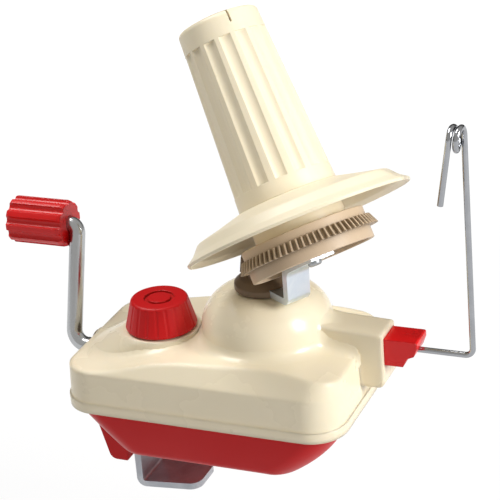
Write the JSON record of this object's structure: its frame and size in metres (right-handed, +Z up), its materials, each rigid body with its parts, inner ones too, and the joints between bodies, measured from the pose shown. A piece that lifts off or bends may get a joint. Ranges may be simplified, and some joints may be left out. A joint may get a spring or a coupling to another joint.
{
  "type": "yarn cone winder",
  "caption": "Hand cranked yarn winder: tilted fluted cone on a rotating bracket over a two-part housing with table clamp, bent crank and wire yarn guide with a pigtail eye.",
  "frame": {"origin": "point in the underside of the base tub, in the table face it stands on, in the middle of the housing's length and width over the shell band", "axes": "+X along the housing from the crank end to the yarn guide end, +Y to the back, +Z up"},
  "size_m": [0.2136, 0.0948, 0.214],
  "materials": {
    "top_shell": "moulded, low gloss",
    "base_tub": "moulded, glossy",
    "clamp_knob": "moulded, glossy",
    "crank_grip": "moulded, glossy",
    "guide_plug": "moulded, glossy",
    "housing_screws": "blackened steel",
    "cone_screws": "blackened steel",
    "clamp_screw": "zinc plated",
    "jaw_nut": "zinc plated",
    "clamp_jaw": "zinc plated",
    "knob_washer": "zinc plated",
    "cone_bracket": "zinc plated",
    "sun_nut": "zinc plated",
    "crank_rod": "nickel plated, satin",
    "screw_clip": "plain steel",
    "crank_clip": "plain steel",
    "axle_clip": "plain steel",
    "wire_clip": "plain steel",
    "grip_nut": "plain steel",
    "crown_pin": "plain steel",
    "centre_spindle": "plain steel",
    "cone_axle": "plain steel",
    "guide_wire": "bright plated wire",
    "crank_bush": "acetal",
    "neck_bush": "acetal",
    "thrust_washers": "acetal",
    "bearing_block": "acetal",
    "crown_gear": "acetal",
    "drive_pinion": "acetal",
    "rotor_sleeve": "acetal",
    "rotor_hub": "moulded, beige brown",
    "sun_gear": "moulded, beige brown",
    "cone_gear": "moulded, beige brown",
    "spool_flange": "moulded, low gloss",
    "spool_cone": "moulded, low gloss"
  },
  "bodies": {
    "housing": {"top_shell": "top_shell", "base_tub": "base_tub", "housing_screws": "housing_screws", "crank_bush": "crank_bush", "bearing_block": "bearing_block", "centre_spindle": "centre_spindle", "thrust_washers": "thrust_washers", "neck_bush": "neck_bush", "sun_gear": "sun_gear", "sun_nut": "sun_nut"},
    "clamp_drive": {"clamp_knob": "clamp_knob", "clamp_screw": "clamp_screw", "knob_washer": "knob_washer", "screw_clip": "screw_clip"},
    "jaw": {"clamp_jaw": "clamp_jaw", "jaw_nut": "jaw_nut"},
    "crank": {"crank_rod": "crank_rod", "grip_nut": "grip_nut", "crank_clip": "crank_clip", "crown_gear": "crown_gear", "crown_pin": "crown_pin"},
    "grip": {"crank_grip": "crank_grip"},
    "rotor": {"rotor_sleeve": "rotor_sleeve", "drive_pinion": "drive_pinion", "rotor_hub": "rotor_hub", "cone_bracket": "cone_bracket", "cone_axle": "cone_axle", "axle_clip": "axle_clip"},
    "cone": {"cone_gear": "cone_gear", "spool_flange": "spool_flange", "cone_screws": "cone_screws", "spool_cone": "spool_cone"},
    "guide": {"guide_plug": "guide_plug"},
    "wire": {"guide_wire": "guide_wire", "wire_clip": "wire_clip"}
  },
  "joints": [
    {"name": "crank_spin", "type": "hinge", "parent": "housing", "child": "crank", "pos_m": [0, 0.0035, 0.032], "axis": [1, 0, 0], "continuous": true},
    {"name": "grip_spin", "type": "hinge", "parent": "crank", "child": "grip", "pos_m": [-0.09, 0.0175, 0.0835], "axis": [1, 0, 0], "continuous": true},
    {"name": "rotor_spin", "type": "hinge", "parent": "housing", "child": "rotor", "pos_m": [0.01875, 0.0035, 0.08], "axis": [0, 0, 1], "continuous": true},
    {"name": "cone_spin", "type": "hinge", "parent": "rotor", "child": "cone", "pos_m": [0.04572, -0.01344, 0.09992], "axis": [-0.4537, 0.2851, 0.8443], "continuous": true},
    {"name": "knob_turn", "type": "hinge", "parent": "housing", "child": "clamp_drive", "pos_m": [-0.0265, -0.0055, 0.05], "axis": [0, 0, 1], "range_deg": [-2701, 2881]},
    {"name": "jaw_slide", "type": "slide", "parent": "housing", "child": "jaw", "axis": [0, 0, 1], "range_m": [-0.016, 0.015]},
    {"name": "guide_slide", "type": "slide", "parent": "housing", "child": "guide", "axis": [1, 0, 0], "range_m": [0, 0.014]},
    {"name": "wire_swivel", "type": "hinge", "parent": "guide", "child": "wire", "pos_m": [0.08, 0.004, 0.049], "axis": [1, 0, 0], "range_deg": [-90, 90]}
  ],
  "couplings": [
    {"joint": "rotor_spin", "follows": "crank_spin", "ratio": -4},
    {"joint": "cone_spin", "follows": "crank_spin", "ratio": -1.2222},
    {"joint": "knob_turn", "follows": "jaw_slide", "rad_per_m": -3141.6}
  ]
}
